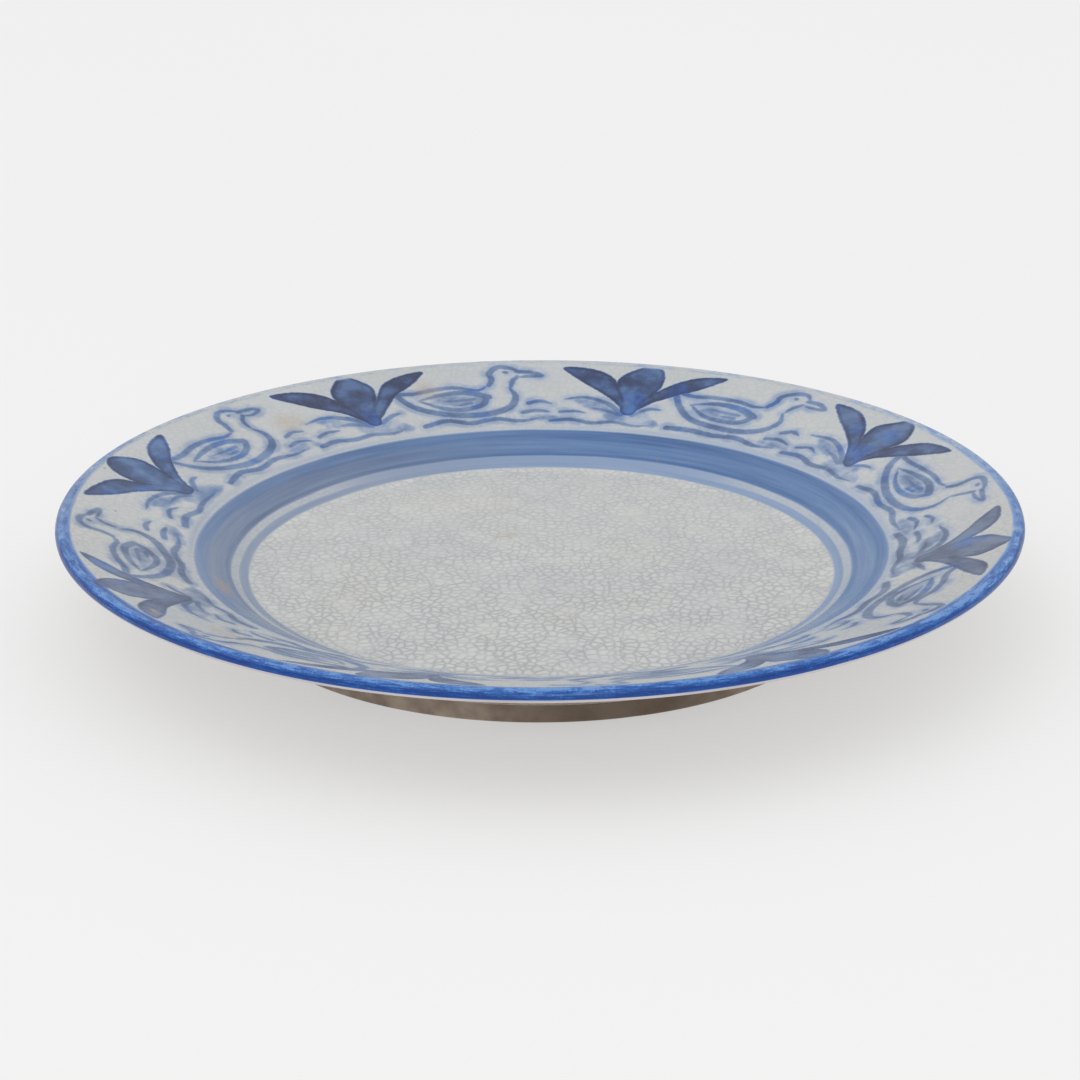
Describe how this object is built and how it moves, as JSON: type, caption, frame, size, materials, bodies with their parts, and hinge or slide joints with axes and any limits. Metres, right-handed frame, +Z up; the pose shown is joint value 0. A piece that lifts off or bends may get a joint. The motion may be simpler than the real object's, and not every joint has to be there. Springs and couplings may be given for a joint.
{
  "type": "painted ceramic plate",
  "caption": "Round shallow plate on a foot ring, with a crackled white well, a broad blue band, a sloping rim hand painted with water birds and plants, and a blue lip.",
  "frame": {"origin": "centre of the foot ring's standing edge, on the surface the plate stands on", "axes": "+Z up along the plate's axis of turning; X and Y are equal"},
  "size_m": [0.216, 0.216, 0.025],
  "materials": {
    "clay": "matt fired clay",
    "bare_foot": "matt bare clay with brown iron spots",
    "well_crackle": "glossy glaze with a fine grey-blue crackle",
    "cobalt_line": "brushed cobalt line under glossy glaze",
    "cobalt_band": "streaked cobalt band under glossy glaze",
    "painted_border": "white ground with cobalt brush painting under glossy glaze",
    "cobalt_lip": "cobalt brushed round the lip under glossy glaze",
    "reverse_crackle": "glossy crackle glaze, greyer than the face"
  },
  "bodies": {
    "root": {"clay_body": "clay", "foot_ring": "bare_foot", "well_glaze": "well_crackle", "inner_line": "cobalt_line", "well_band": "cobalt_band", "border_glaze": "painted_border", "lip_band": "cobalt_lip", "reverse_glaze": "reverse_crackle", "foot_well_glaze": "reverse_crackle"}
  },
  "joints": []
}
